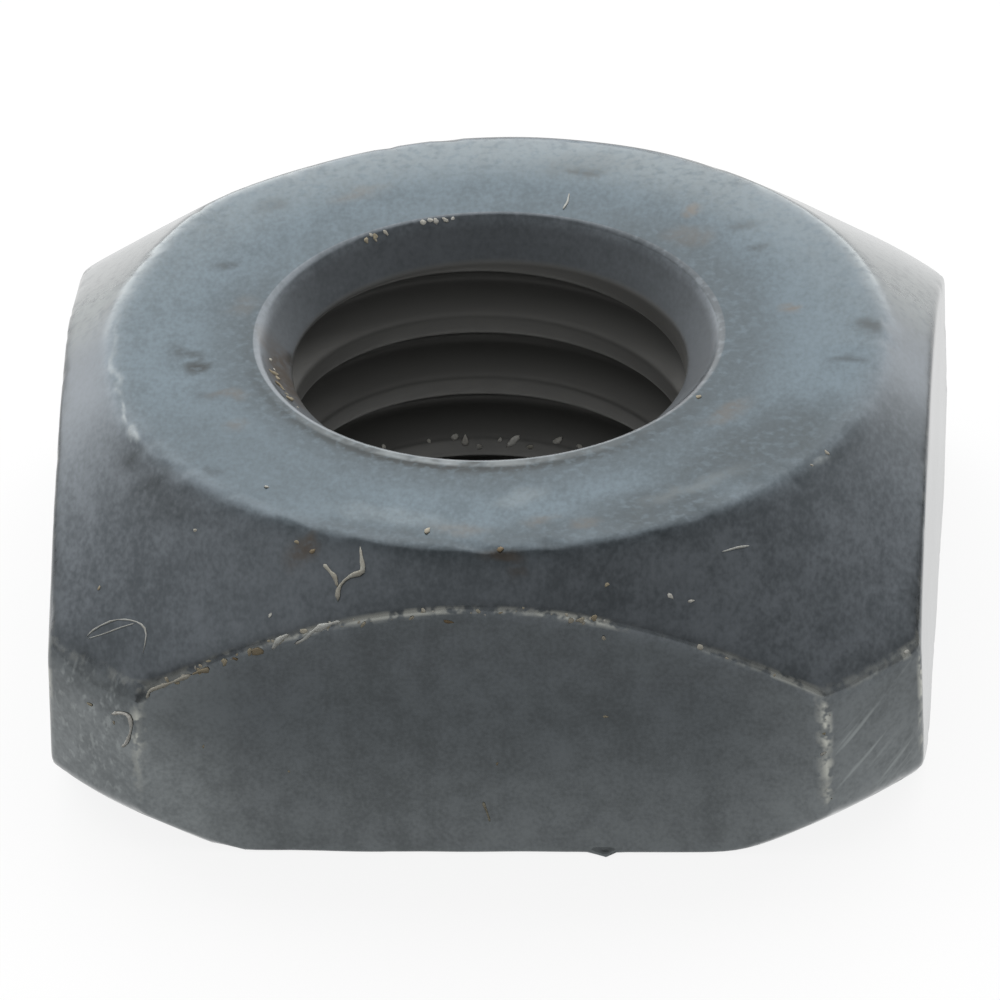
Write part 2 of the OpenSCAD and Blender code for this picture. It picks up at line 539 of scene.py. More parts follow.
# Worn stretches of the front's edges: first place, last place and strength. The top edge goes by x, over the
# flat and the corners beside it, and the upright edges go by height.
TOP_EDGE_WEAR = [
    (-5.9, -4.6, 0.30), (-4.6, -3.3, 0.30), (-3.3, -2.3, 0.60), (-2.3, -0.4, 0.60), (-0.4, 1.1, 0.40),
    (1.1, 2.3, 0.70), (3.7, 4.7, 0.25), (4.7, 5.9, 0.50), (5.9, 6.9, 0.10), (7.0, 7.5, 0.55),
]
RIGHT_EDGE_WEAR = [(1.05, 1.45, 0.80), (1.6, 1.95, 0.90), (2.15, 3.1, 1.00)]
LEFT_EDGE_WEAR = [(2.1, 2.8, 0.80), (1.5, 2.1, 0.30)]
SPAN_FADE = 0.12
# Nearness to the edge at which the wear begins and is full, and the place from the axis, along y
TOP_EDGE_REACH = (0.75, 0.99)
UPRIGHT_EDGE_REACH = (0.72, 0.98)
FRONT_REACH = (-5.0, -5.6)


def marks(across, along, listed):
    """Mask of soft-edged ellipses at places in a plane. Each is full in its middle and fades out a little
    past its size, and the strongest one counts."""
    total = np.zeros_like(across)
    for middle_x, middle_y, half_length, half_width, degrees, strength in listed:
        turn = math.radians(degrees)
        right, up = across - middle_x, along - middle_y
        lengthwise = (right * math.cos(turn) + up * math.sin(turn)) / half_length
        crosswise = (up * math.cos(turn) - right * math.sin(turn)) / half_width
        total = np.maximum(total, strength * between(*MARK_REACH, np.hypot(lengthwise, crosswise)))
    return total


def spans(place, listed):
    """Mask of stretches along a line, with soft ends."""
    total = np.zeros_like(place)
    for first, last, strength in listed:
        begun = between(first - SPAN_FADE, first + SPAN_FADE, place)
        ended = between(last - SPAN_FADE, last + SPAN_FADE, place)
        total = np.maximum(total, strength * (begun - ended))
    return total


def wear_masks(points, masks):
    """Masks of stains, brown and pale marks and worn edges. The places are shifted a little by waves, so that
    the marks come out uneven."""
    shift = np.stack([waves(points, MARK_WARP_LENGTH, seed) for seed in MARK_SEEDS], axis=-1)
    x, y, z = np.moveaxis(points + MARK_WARP * shift, -1, 0)
    upward = between(MARK_FLOOR, MARK_FLOOR + MARK_FLOOR_FADE, z)
    top_edge = between(*TOP_EDGE_REACH, masks["chamfer_edge"]) * spans(x, TOP_EDGE_WEAR)
    beside = np.where(x > 0, spans(z, RIGHT_EDGE_WEAR), spans(z, LEFT_EDGE_WEAR))
    upright = between(*UPRIGHT_EDGE_REACH, masks["corner_edge"]) * beside
    return {
        "stain": marks(x, y, DARK_MARKS) * upward,
        "brown": marks(x, y, BROWN_MARKS) * upward,
        "pale": marks(x, y, PALE_MARKS) * upward,
        "worn": np.maximum(top_edge, upright) * between(*FRONT_REACH, y),
    }


def skin_masks(angle, points, out_r, in_z, outer_masks):
    """All masks of the skin, over the outside's rows and then the bore's: those of the outside, the marks and
    worn edges, the lips and what lies around the hole by the distance from its rim, and by depth the bore's
    grime and the countersink's painted shade."""
    outer_rows = out_r.shape[1]
    empty = np.zeros_like(in_z)
    masks = {label: np.concatenate([values, empty], axis=1) for label, values in outer_masks.items()}
    masks.update(wear_masks(points, masks))

    lip = np.zeros(points.shape[:2])
    lip[:, outer_rows:outer_rows + LIP_ROWS + 1] = 1
    lip[:, -LIP_ROWS:] = 1
    glint = bell(angle, GLINT_ANGLE, GLINT_SPREAD)[:, None]
    darker_right = (1 - LIP_DARKENING_LEAN + LIP_DARKENING_LEAN * np.cos(angle))[:, None]
    dull = LIP_DARKENING * lip * (1 - glint) * darker_right
    from_rim = out_r[:, :TOP_ROWS] - out_r[:, :1]
    lip[:, :TOP_ROWS] = between(*RIM_REACH, from_rim)
    # Bare rim, strongest at the glint angle: wear with a painted highlight
    masks["rim"] = lip * GLINT_STRENGTH * glint

    clean = CLEAN_SHARE * bell(angle, CLEAN_ANGLE, CLEAN_SPREAD, CLEAN_POWER)[:, None]
    front = bell(angle, GLINT_ANGLE, LINE_SPREAD)[:, None]
    ring = RING_STRENGTH * (1 - clean) * between(*RING_REACH, from_rim)
    ring = ring + LINE_STRENGTH * front * between(*LINE_REACH, from_rim)
    # The lip's darkening is laid on with the stains
    masks["stain"] = np.maximum(masks["stain"], dull * (1 - clean))
    masks["stain"][:, :TOP_ROWS] = np.maximum(masks["stain"][:, :TOP_ROWS], ring)

    thinned = PALE_STRENGTH * bell(angle, PALE_ANGLE, PALE_SPREAD)[:, None]
    thinned = thinned * between(*PALE_REACH, from_rim)
    masks["pale"][:, :TOP_ROWS] = np.maximum(masks["pale"][:, :TOP_ROWS], thinned)
    # The back corners' painted highlight is laid on with the pale marks
    masks["pale"] = np.maximum(masks["pale"], masks.pop("back_corner"))

    depth = np.minimum(in_z, HEIGHT - in_z)
    outside = np.zeros_like(out_r)
    masks["inside"] = np.concatenate([outside, between(*BORE_REACH, depth - MOUTH_DEPTH)], axis=1)
    # Countersink mask: painted shade in its colour, and added roughness
    masks["cone"] = np.concatenate([outside, between(*CONE_REACH, depth)], axis=1)
    return masks


def nut_skin(material):
    """The whole closed skin: outside and bore joined into rings round the section, for every angle round the
    axis. The hole's rings are carried off centre by its drift, which fades out over both faces, and a bell
    pushes out the burr at the front foot."""
    angle = turning_angles()
    out_r, out_z, outer_masks = outer_skin(angle)
    in_r, in_z = bore_skin(angle)
    radius = np.concatenate([out_r, in_r], axis=1)
    height = np.concatenate([out_z, in_z], axis=1)
    rows = radius.shape[1]
    outer_rows = out_r.shape[1]

    drift = np.ones(rows)
    drift[:outer_rows] = 0
    drift[:TOP_ROWS] = (1 - np.arange(TOP_ROWS) / TOP_ROWS) ** 2
    drift[outer_rows - BOTTOM_ROWS:outer_rows] = (np.arange(BOTTOM_ROWS) / BOTTOM_ROWS) ** 2
    x = radius * np.cos(angle)[:, None] + HOLE_DRIFT[0] * drift
    y = radius * np.sin(angle)[:, None] + HOLE_DRIFT[1] * drift
    burr = np.exp(-((x - BURR_X) / BURR_WIDTH) ** 2 - ((height - BURR_HEIGHT) / BURR_RISE) ** 2)
    y = y - BURR_LENGTH * burr * (y < -HALF_WIDTH * FRONT_SHARE)
    points = np.stack([x, y, height], axis=-1)

    index = np.arange(len(angle) * rows).reshape(len(angle), rows)
    beside = np.roll(index, -1, axis=0)
    faces = np.stack([index, np.roll(index, -1, axis=1), np.roll(beside, -1, axis=1), beside], axis=-1)
    masks = skin_masks(angle, points, out_r, in_z, outer_masks)
    return new_piece("nut", points.reshape(-1, 3), [faces.reshape(-1, 4)], material, masks)


# Crumbs and lint on the skin

CRUMB_COLUMNS = 8
CRUMB_ROWS = 5
# Half length, half width and half height of a crumb, as shares of its size between which chance chooses
CRUMB_LENGTHS = (0.9, 1.7)
CRUMB_WIDTHS = (0.6, 1.0)
CRUMB_HEIGHTS = (0.18, 0.40)
# Lumps on a crumb: their height and length, and how far apart the crumbs lie in the field of waves
CRUMB_LUMPS = 0.22
CRUMB_LUMP_LENGTH = 1.6
CRUMB_APART = 9
# Height of a crumb's middle above the skin, as a share of its half height
CRUMB_LIFT = 0.3
# Spread of the sizes of the crumbs along the edges, and of the paleness of all crumbs
CRUMB_SIZE_SPREAD = 0.5
CRUMB_TONE_SPREAD = 0.15
# Crumbs lie below the upper edge, by a distance with this middle and spread, and beside the upright edge,
# with this spread in angle
EDGE_DROP = (0.05, 0.06)
UPRIGHT_SPREAD = 0.006
LINT_COLUMNS = 6
LINT_STEPS = 12
# Height of a fibre's middle above the skin, as a share of its radius
LINT_LIFT = 0.4
# Unevenness of a fibre's radius, and the length of its waves
LINT_UNEVENNESS = 0.3
LINT_WAVE = 0.3

# Crumbs along the edge between a flat and the top chamfer: span along the edge, count, size and paleness.
# The front shows these, and the back gets like ones.
EDGE_CRUMBS = [
    (-5.8, -4.6, 9, 0.032, 0.55),
    (-4.6, -3.2, 8, 0.028, 0.50),
    (-3.1, -2.3, 8, 0.036, 0.75),
    (-2.3, -0.5, 10, 0.022, 0.70),
    (-0.5, 1.0, 6, 0.020, 0.65),
    (1.0, 2.2, 8, 0.028, 0.60),
    (3.7, 5.8, 3, 0.020, 0.80),
]
# Crumbs along the upright edge at the right end of each flat: span of height, count, size and paleness
UPRIGHT_CRUMBS = [
    (1.7, 3.2, 4, 0.020, 0.95),
    (1.0, 1.5, 2, 0.018, 0.90),
]
# Quarter turns from the front to the sides that carry crumbs. The back has finer ones, by this share, and
# fewer.
FRONT_TURNS = 0
BACK_TURNS = 2
FAR_SIDE_SHARE = 0.5
FAR_SIDE_THINNING = 2
# Single crumbs on the top face and its chamfer: x, y, size and paleness
TOP_CRUMBS = [
    (3.56, -1.73, 0.045, 0.60), (-0.91, -6.09, 0.060, 0.45), (-3.73, -4.69, 0.035, 1.00),
    (-3.15, -6.16, 0.045, 0.15), (-2.87, -6.37, 0.050, 0.15), (0.36, -6.63, 0.060, 0.10),
    (2.19, -6.97, 0.040, 0.45), (3.25, -6.90, 0.042, 1.00), (3.61, -6.88, 0.042, 1.00),
    (5.84, -3.42, 0.045, 0.90), (5.58, -3.82, 0.030, 0.80), (-2.36, 3.38, 0.048, 0.75),
    (-2.22, 3.50, 0.042, 0.70), (-2.31, 3.53, 0.036, 0.90), (-2.18, 3.41, 0.030, 0.60),
    (-1.43, 3.95, 0.050, 0.80), (-1.31, 4.02, 0.056, 0.90), (-1.20, 3.99, 0.042, 0.70),
    (-1.05, 4.05, 0.046, 0.75), (-0.92, 4.08, 0.030, 0.80), (-2.05, 3.62, 0.036, 0.70),
    (-6.61, -5.47, 0.030, 0.60), (-4.94, -5.33, 0.030, 0.90), (-3.58, -7.12, 0.030, 0.90),
    (-3.66, -0.20, 0.045, 0.60), (-3.48, -0.70, 0.055, 0.70), (-3.33, -1.20, 0.045, 0.80),
    (-3.42, -1.05, 0.040, 0.50), (-3.55, -0.45, 0.035, 0.70), (-3.15, -1.65, 0.035, 0.85),
    (-3.62, -0.62, 0.080, 0.25), (-3.50, -0.98, 0.090, 0.20), (-3.30, -1.42, 0.080, 0.35),
]
# Single crumbs on the front flat and its ends: x, z, size and paleness
FRONT_CRUMBS = [
    (-3.78, 4.09, 0.075, 0.05), (-0.52, 4.71, 0.050, 0.10), (2.14, 4.39, 0.040, 0.60),
    (-6.74, 2.55, 0.045, 0.55), (-6.31, 2.43, 0.040, 0.70), (-3.92, 4.08, 0.050, 0.60),
    (-4.36, 3.88, 0.055, 0.50), (-4.18, 3.94, 0.040, 0.30), (7.31, 3.31, 0.040, 0.90),
    (-4.77, 2.16, 0.026, 0.60), (-3.32, 1.66, 0.026, 0.60), (0.26, 1.84, 0.028, 0.45),
    (2.14, 2.80, 0.028, 0.55),
]
# Grit caught in the lower thread at the back of the hole: angle round the hole, height, size and paleness,
# which goes up to 2 there: paleness above 1 whitens the grit, painted light against the bore's shade
THREAD_GRIT = [
    (126, 1.75, 0.05, 1.8), (112, 1.55, 0.04, 1.4), (104, 1.54, 0.05, 1.5), (101, 1.42, 0.08, 2.0),
    (97, 1.29, 0.05, 1.2), (91, 1.40, 0.04, 1.6), (87, 1.39, 0.08, 2.0), (82, 1.30, 0.05, 1.0),
    (74, 1.55, 0.06, 1.3), (67, 1.50, 0.04, 1.4), (59, 1.80, 0.05, 1.7),
]
# Lint: plan points that a fibre passes through, its radius and paleness
TOP_LINT = [
    ([(-2.05, -6.46), (-2.01, -6.67), (-1.97, -6.86), (-2.20, -6.85), (-2.42, -6.98),
      (-2.41, -7.19)], 0.032, 0.75),
    ([(-2.67, -6.60), (-2.55, -6.74), (-2.47, -6.82), (-2.42, -6.98)], 0.034, 0.70),
    ([(-6.83, -6.19), (-6.71, -6.12), (-6.34, -6.13), (-6.08, -6.26), (-5.85, -6.42), (-5.72, -6.62),
      (-5.81, -6.95)], 0.013, 1.00),
    ([(-6.80, -6.22), (-6.55, -6.28), (-6.20, -6.33), (-5.95, -6.38)], 0.011, 1.00),
    ([(0.97, 4.36), (1.04, 4.59), (1.06, 4.89)], 0.014, 0.95),
    ([(4.11, -5.98), (4.36, -5.82), (4.58, -5.70)], 0.014, 1.00),
]
# Lint on the front flat, by x and z
FRONT_LINT = [
    ([(0.00, 1.06), (0.06, 0.86), (0.11, 0.66)], 0.018, 0.45),
    ([(-5.73, 3.11), (-5.70, 3.25), (-5.56, 3.33), (-5.35, 3.42), (-5.14, 3.52), (-4.93, 3.62)], 0.032, 0.75),
    ([(-4.93, 3.62), (-4.79, 3.69), (-4.62, 3.73)], 0.036, 0.25),
    ([(-3.54, 4.14), (-3.43, 4.32), (-3.26, 4.44)], 0.032, 0.95),
    ([(-3.16, 4.24), (-2.98, 4.35), (-2.84, 4.51), (-2.56, 4.65), (-2.36, 4.72)], 0.034, 1.00),
    # Paleness above 1 whitens this fibre at the corner: painted light against its shade
    ([(-6.36, 2.58), (-6.20, 2.70), (-6.04, 2.75), (-5.99, 2.63), (-6.00, 2.42), (-6.09, 2.11),
      (-6.18, 2.02)], 0.034, 1.60),
]


def capped_rings(rings, first_end, last_end):
    """Points and faces of many small closed surfaces at once. Each has rows of rings, and a point at either
    end that closes it. Rows run along the surface's own axis and columns turn to the right about it."""
    count, rows, columns, _ = rings.shape
    points = np.concatenate([rings.reshape(count, -1, 3), first_end[:, None], last_end[:, None]], axis=1)
    row, column = np.meshgrid(np.arange(rows - 1), np.arange(columns), indexing="ij")
    here = row * columns + column
    beside = row * columns + (column + 1) % columns
    quads = np.stack([here, beside, beside + columns, here + columns], axis=-1).reshape(1, -1, 4)
    ring = np.arange(columns)
    after = (ring + 1) % columns
    last = (rows - 1) * columns
    first_cap = np.stack([np.full(columns, rows * columns), after, ring], axis=-1)
    last_cap = np.stack([np.full(columns, rows * columns + 1), last + ring, last + after], axis=-1)
    caps = np.concatenate([first_cap, last_cap])[None]
    shift = np.arange(count)[:, None, None] * points.shape[1]
    return points.reshape(-1, 3), [(quads + shift).reshape(-1, 4), (caps + shift).reshape(-1, 3)]


def skin_tree(nut):
    """Search tree over the nut's faces, in millimetres."""
    mesh = nut.data
    points = np.empty(len(mesh.vertices) * 3)
    mesh.vertices.foreach_get("co", points)
    faces = [face.vertices[:] for face in mesh.polygons]
    return BVHTree.FromPolygons((points.reshape(-1, 3) / MM).tolist(), faces)


def seated(skin, targets):
    """Nearest points of the skin to the targets, and the skin's outward normals there."""
    hits = [skin.find_nearest(Vector(target)) for target in targets]
    return np.array([hit[0] for hit in hits]), np.array([hit[1] for hit in hits])


def edge_height(along):
    """Height of the edge between a flat and the top chamfer, at a distance along the flat from its middle."""
    return HEIGHT - (np.hypot(along, HALF_WIDTH) - TOP_FACE_R) * math.tan(CHAMFER_SLOPE)


def plan_points(x, y):
    """Points of the top face or its chamfer above plan places."""
    x, y = np.asarray(x, float), np.asarray(y, float)
    drop = np.maximum(0, np.hypot(x, y) - TOP_FACE_R) * math.tan(CHAMFER_SLOPE)
    return np.stack([x, y, HEIGHT - drop], axis=-1)


def front_points(x, z):
    """Points of the front flat, or of the turned corners beside it, at places across and up."""
    x, z = np.asarray(x, float), np.asarray(z, float)
    return np.stack([x, -np.minimum(HALF_WIDTH, np.sqrt(CORNER_R ** 2 - x ** 2)), z], axis=-1)


def quarter_turns(points, turns):
    """Points carried round the axis by quarter turns."""
    cosine, sine = [(1, 0), (0, 1), (-1, 0), (0, -1)][turns % 4]
    x, y, z = points.T
    return np.stack([cosine * x - sine * y, sine * x + cosine * y, z], axis=-1)


def crumb_places():
    """Targets, sizes and paleness of all crumbs. Those along the edges are drawn at random within their
    spans."""
    draw = np.random.default_rng(CRUMB_PLACE_SEED)
    targets, sizes, tones = [], [], []

    def put(points, size, tone, spread=0):
        targets.append(points)
        sizes.append(size * np.exp(spread * draw.normal(size=len(points))))
        tones.append(np.clip(tone + CRUMB_TONE_SPREAD * draw.normal(size=len(points)), 0, max(1, tone)))

    for side in (FRONT_TURNS, BACK_TURNS):
        share = FAR_SIDE_SHARE if side == BACK_TURNS else 1
        thinning = FAR_SIDE_THINNING if side == BACK_TURNS else 1
        for first, last, full_count, size, tone in EDGE_CRUMBS:
            count = full_count // thinning
            along = draw.uniform(first, last, count)
            drop = draw.normal(*EDGE_DROP, count)
            spot = front_points(along, edge_height(along) - drop)
            put(quarter_turns(spot, side), size * share, tone, CRUMB_SIZE_SPREAD)
        for first, last, full_count, size, tone in UPRIGHT_CRUMBS:
            count = full_count // thinning
            bearing = -np.pi / 2 + FLAT_EDGE_ANGLE + draw.normal(0, UPRIGHT_SPREAD, count)
            z = draw.uniform(first, last, count)
            spot = np.stack([CORNER_R * np.cos(bearing), CORNER_R * np.sin(bearing), z], axis=-1)
            put(quarter_turns(spot, side), size * share, tone, CRUMB_SIZE_SPREAD)
    for x, y, size, tone in TOP_CRUMBS:
        put(plan_points([x], [y]), size, tone)
    for x, z, size, tone in FRONT_CRUMBS:
        put(front_points([x], [z]), size, tone)
    for degrees, z, size, tone in THREAD_GRIT:
        turn = math.radians(degrees)
        x = HOLE_DRIFT[0] + BORE_R * math.cos(turn)
        y = HOLE_DRIFT[1] + BORE_R * math.sin(turn)
        put(np.array([[x, y, z]]), size, tone)
    return np.concatenate(targets), np.concatenate(sizes), np.concatenate(tones)


def crumbs(skin, material):
    """Crumbs of dirt as lumpy ellipsoids that sit in the skin: rings at equal polar angles about the skin's
    normal, flattened along it and drawn out across it, both by chance, and made uneven by waves."""
    targets, sizes, tones = crumb_places()
    feet, normals = seated(skin, targets)
    count = len(feet)
    draw = np.random.default_rng(CRUMB_SHAPE_SEED)
    any_way = draw.normal(size=(count, 3))
    first = np.cross(normals, any_way)
    first /= np.linalg.norm(first, axis=1)[:, None]
    second = np.cross(normals, first)
    long_half = sizes * draw.uniform(*CRUMB_LENGTHS, count)
    wide_half = sizes * draw.uniform(*CRUMB_WIDTHS, count)
    tall_half = sizes * draw.uniform(*CRUMB_HEIGHTS, count)
    axes = [first * long_half[:, None], second * wide_half[:, None], normals * tall_half[:, None]]
    frames = np.stack(axes, axis=1)

    polar = np.pi * np.arange(1, CRUMB_ROWS + 1)[:, None] / (CRUMB_ROWS + 1)
    turn = 2 * np.pi * np.arange(CRUMB_COLUMNS)[None, :] / CRUMB_COLUMNS
    around = np.sin(polar)
    ball = np.stack([around * np.cos(turn), around * np.sin(turn), -np.cos(polar) + 0 * turn], axis=-1)[None]
    spots = ball + CRUMB_APART * np.arange(count)[:, None, None, None]
    ball = ball * (1 + CRUMB_LUMPS * waves(spots, CRUMB_LUMP_LENGTH, CRUMB_LUMP_SEED))[..., None]
    middles = feet + normals * tall_half[:, None] * CRUMB_LIFT
    rings = np.einsum("crki,cij->crkj", ball, frames) + middles[:, None, None]
    points, faces = capped_rings(rings, middles - frames[:, 2], middles + frames[:, 2])
    tone = np.repeat(tones, len(points) // count)
    return new_piece("crumbs", points, faces, material, {"tone": tone})


def lint(skin, material):
    """Fibres that lie on the skin: a round tube of uneven radius along a smoothed line through the chosen
    points, each step of which is moved to the skin and lifted by a share of the radius."""
    paths = [(plan_points(*zip(*route)), radius, tone) for route, radius, tone in TOP_LINT]
    paths += [(front_points(*zip(*route)), radius, tone) for route, radius, tone in FRONT_LINT]
    turn = 2 * np.pi * np.arange(LINT_COLUMNS) / LINT_COLUMNS
    rings, starts, ends, tones = [], [], [], []
    for number, (route, radius, tone) in enumerate(paths):
        steps = np.linspace(0, len(route) - 1, LINT_STEPS + 2)
        curve = np.stack([np.interp(steps, np.arange(len(route)), part) for part in route.T], axis=-1)
        curve[1:-1] = (curve[:-2] + 2 * curve[1:-1] + curve[2:]) / 4
        feet, normals = seated(skin, curve)
        middles = feet + normals * radius * LINT_LIFT
        along = np.gradient(middles, axis=0)
        along /= np.linalg.norm(along, axis=1)[:, None]
        side = np.cross(along, normals)
        side /= np.linalg.norm(side, axis=1)[:, None]
        out = np.cross(side, along)
        uneven = np.exp(LINT_UNEVENNESS * waves(middles, LINT_WAVE, LINT_SEED + number))
        thick = radius * uneven[:, None, None]
        ring = out[:, None] * np.cos(turn)[None, :, None] + side[:, None] * np.sin(turn)[None, :, None]
        rings.append((middles[:, None] + thick * ring)[1:-1])
        starts.append(middles[0])
        ends.append(middles[-1])
        tones.append(tone)
    points, faces = capped_rings(np.array(rings), np.array(starts), np.array(ends))
    tone = np.repeat(tones, len(points) // len(paths))
    return new_piece("lint", points, faces, material, {"tone": tone})


# Materials

def add(tree, kind, inputs=None, **settings):
    """New node with its settings. Each input is a number, a colour or another node's output to link."""
    made = tree.nodes.new(kind)
    for name, value in settings.items():
        setattr(made, name, value)
    for name, value in (inputs or {}).items():
        if isinstance(value, bpy.types.NodeSocket):
            tree.links.new(value, made.inputs[name])
        else:
            made.inputs[name].default_value = value
    return made


def sums(tree, operation, first, second, third=0.0, clamp=False):
    """Output of one arithmetic step on two values, or on three."""
    values = {0: first, 1: second, 2: third}
    return add(tree, "ShaderNodeMath", values, operation=operation, use_clamp=clamp).outputs[0]


def times(tree, first, second):
    """Output of the product of two values."""
    return sums(tree, "MULTIPLY", first, second)


def blend(tree, share, first, second):
    """Output of a colour that goes from first to second with share."""
    return add(tree, "ShaderNodeMix", {0: share, 6: first, 7: second}, data_type="RGBA").outputs[2]


def stretch(tree, value, low, high, to_low=0.0, to_high=1.0):
    """Output of value moved from one range to another, smoothly and kept inside it."""
    values = {0: value, 1: low, 2: high, 3: to_low, 4: to_high}
    return add(tree, "ShaderNodeMapRange", values, interpolation_type="SMOOTHSTEP").outputs[0]


def speckle(tree, place, scale, detail):
    """Output of a noise with the given number of lumps in a millimetre."""
    values = {"Vector": place, "Scale": scale, "Detail": detail, "Roughness": NOISE_ROUGHNESS}
    return add(tree, "ShaderNodeTexNoise", values).outputs[0]


def patches(tree, place, scale, detail, low, high, to_low=0.0, to_high=1.0):
    """Output of a noise that is stretched into patches with soft edges."""
    return stretch(tree, speckle(tree, place, scale, detail), low, high, to_low, to_high)


def millimetres(tree):
    """Output of the object's own coordinates, in millimetres."""
    place = add(tree, "ShaderNodeTexCoord").outputs["Object"]
    factors = (1 / MM, 1 / MM, 1 / MM)
    return add(tree, "ShaderNodeVectorMath", {0: place, 1: factors}, operation="MULTIPLY").outputs[0]


def mask(tree, name):
    """Output of one of the skin's float attributes."""
    return add(tree, "ShaderNodeAttribute", attribute_name=name).outputs["Fac"]


def new_material(name):
    """Empty node material with its Principled shader, and its tree."""
    material = bpy.data.materials.new(name)
    material.use_nodes = True
    return material, material.node_tree, material.node_tree.nodes["Principled BSDF"]


# Colours of the film, set face by face for flats, chamfers and top, partly as painted light and shade; of
# steel under it, partly rubbed bare and partly a painted highlight on the sides and the rim; of the bore's
# grime and the countersink's painted shade; of crumbs and lint, with a white that paints light on some; and
# of marks
FLAT_DARK = (0.055, 0.061, 0.064, 1)
FLAT_PALE = (0.079, 0.088, 0.094, 1)
RUB_AND_HIGHLIGHT_COLOUR = (0.200, 0.216, 0.220, 1)
CHAMFER_DARK = (0.087, 0.098, 0.107, 1)
CHAMFER_PALE = (0.140, 0.155, 0.170, 1)
TOP_DARK = (0.042, 0.056, 0.065, 1)
TOP_PALE = (0.080, 0.104, 0.121, 1)
BARE_STEEL_GLINT = (0.17, 0.185, 0.19, 1)
EDGE_WEAR = (0.39, 0.395, 0.36, 1)
BORE_GRIME = (0.126, 0.124, 0.115, 1)
CONE_PAINTED_SHADE = (0.046, 0.046, 0.047, 1)
CRUMB_BROWN = (0.195, 0.148, 0.092, 1)
CRUMB_TAN = (0.400, 0.360, 0.265, 1)
CRUMB_PALE = (0.580, 0.585, 0.550, 1)
PAINTED_LIGHT_WHITE = (0.86, 0.85, 0.80, 1)
LINT_TAN = (0.380, 0.355, 0.275, 1)
LINT_PALE = (0.540, 0.560, 0.540, 1)
DARK_MARK = (0.022, 0.025, 0.025, 1)
BROWN_MARK = (0.085, 0.066, 0.048, 1)
PALE_MARK = (0.25, 0.27, 0.27, 1)

# Middle value and roughness of every noise
NOISE_MIDDLE = 0.5
NOISE_ROUGHNESS = 0.55
# Noises that make up the mottle: lumps in a millimetre, weight and detail
MOTTLE = [(0.45, 0.34, 2.0), (2.4, 0.30, 1.0), (12.0, 0.36, 1.0)]
# The film's grain is drawn out from front to back, by the inverse of this
GRAIN_DRAW = 0.6
# Streaks down the sides: scale along each axis, lumps, detail and weight in the mottle
STREAK_SCALE = (1.6, 1.6, 0.12)
STREAK_LUMPS = 1.4
STREAK_DETAIL = 2.0
STREAK_WEIGHT = 0.16
# Scratches on the turned corners: turn of their long way, and their size along it and across it
SCRATCH_TURN = (0, math.radians(-32), math.radians(45))
SCRATCH_SIZE = (2.5, 0.16, 0.16)
# Ranges of the mottle, and what they are stretched to where that isn't 0 to 1: the film's shade, the rubbing
# and painted highlight, and the roughness
SHADE_RANGE = (0.31, 0.69)
RUB_AND_HIGHLIGHT_RANGE = (0.30, 0.66, 0.45, 0.85)
ROUGHNESS_RANGE = (0.35, 0.65, 0.29, 0.39)
# Patches of noise: lumps in a millimetre, detail, the range of the noise, and what it is stretched to where
# that isn't 0 to 1
SPECKS = (6.0, 2.0, 0.30, 0.55, 0.5, 1.0)
SCRATCHES = (1.0, 2.0, 0.52, 0.70)
BEADS = (4.2, 2.0, 0.41, 0.56)
FLECKS = (3.2, 2.0, 0.50, 0.62)
RIM_PATCHES = (2.0, 3.0, 0.36, 0.62, 0.25, 1.0)
# Nearness to an edge at which flecks begin and are full
FLECK_REACH = (0.70, 0.98)
# Shares by which scratches, the countersink's painted shade, the bore's grime and flecks cover the film
SCRATCH_SHARE = 0.55
CONE_SHADE_SHARE = 0.28
BORE_SHARE = 0.85
FLECK_SHARE = 0.15
# Roughness of the sides and of the chamfer's smooth back, and what the countersink and stains add to it
SMOOTH_ROUGHNESS = 0.16
CONE_ROUGHNESS = 0.22
STAIN_ROUGHNESS = 0.10
# Share of the metal's look that the bore's grime takes away
BORE_DULLNESS = 0.6
# Dirt: paleness at which each colour is full, the white past 1 being painted light, scale of its mottle, how
# that shades it, roughness and gloss
TONE_STEPS = (0.0, 0.5, 1.0, 2.0)
DIRT_MOTTLE = 2.0
DIRT_SHADE = (0.35, 0.65, 0.4, 0.0)
DIRT_ROUGHNESS = 0.9
DIRT_GLOSS = 0.2


def mottled_group():
    """Shared unevenness of a surface: clouds, blotches and grain of one noise, from coarse to fine."""
    group = bpy.data.node_groups.new("mottled", "ShaderNodeTree")
    group.interface.new_socket("Place", in_out="INPUT", socket_type="NodeSocketVector")
    group.interface.new_socket("Scale", in_out="INPUT", socket_type="NodeSocketFloat")
    group.interface.new_socket("Shade", in_out="OUTPUT", socket_type="NodeSocketFloat")
    given = group.nodes.new("NodeGroupInput").outputs
    shade = 0.0
    for lumps, weight, detail in MOTTLE:
        noise = speckle(group, given["Place"], times(group, given["Scale"], lumps), detail)
        shade = sums(group, "MULTIPLY_ADD", noise, weight, third=shade)
    result = group.nodes.new("NodeGroupOutput")
    group.links.new(shade, result.inputs["Shade"])
    return group


def mottled(tree, group, place, scale):
    """Output of the shared unevenness in one material, at its own scale."""
    made = add(tree, "ShaderNodeGroup", node_tree=group)
    tree.links.new(place, made.inputs["Place"])
    made.inputs["Scale"].default_value = scale
    return made.outputs["Shade"]


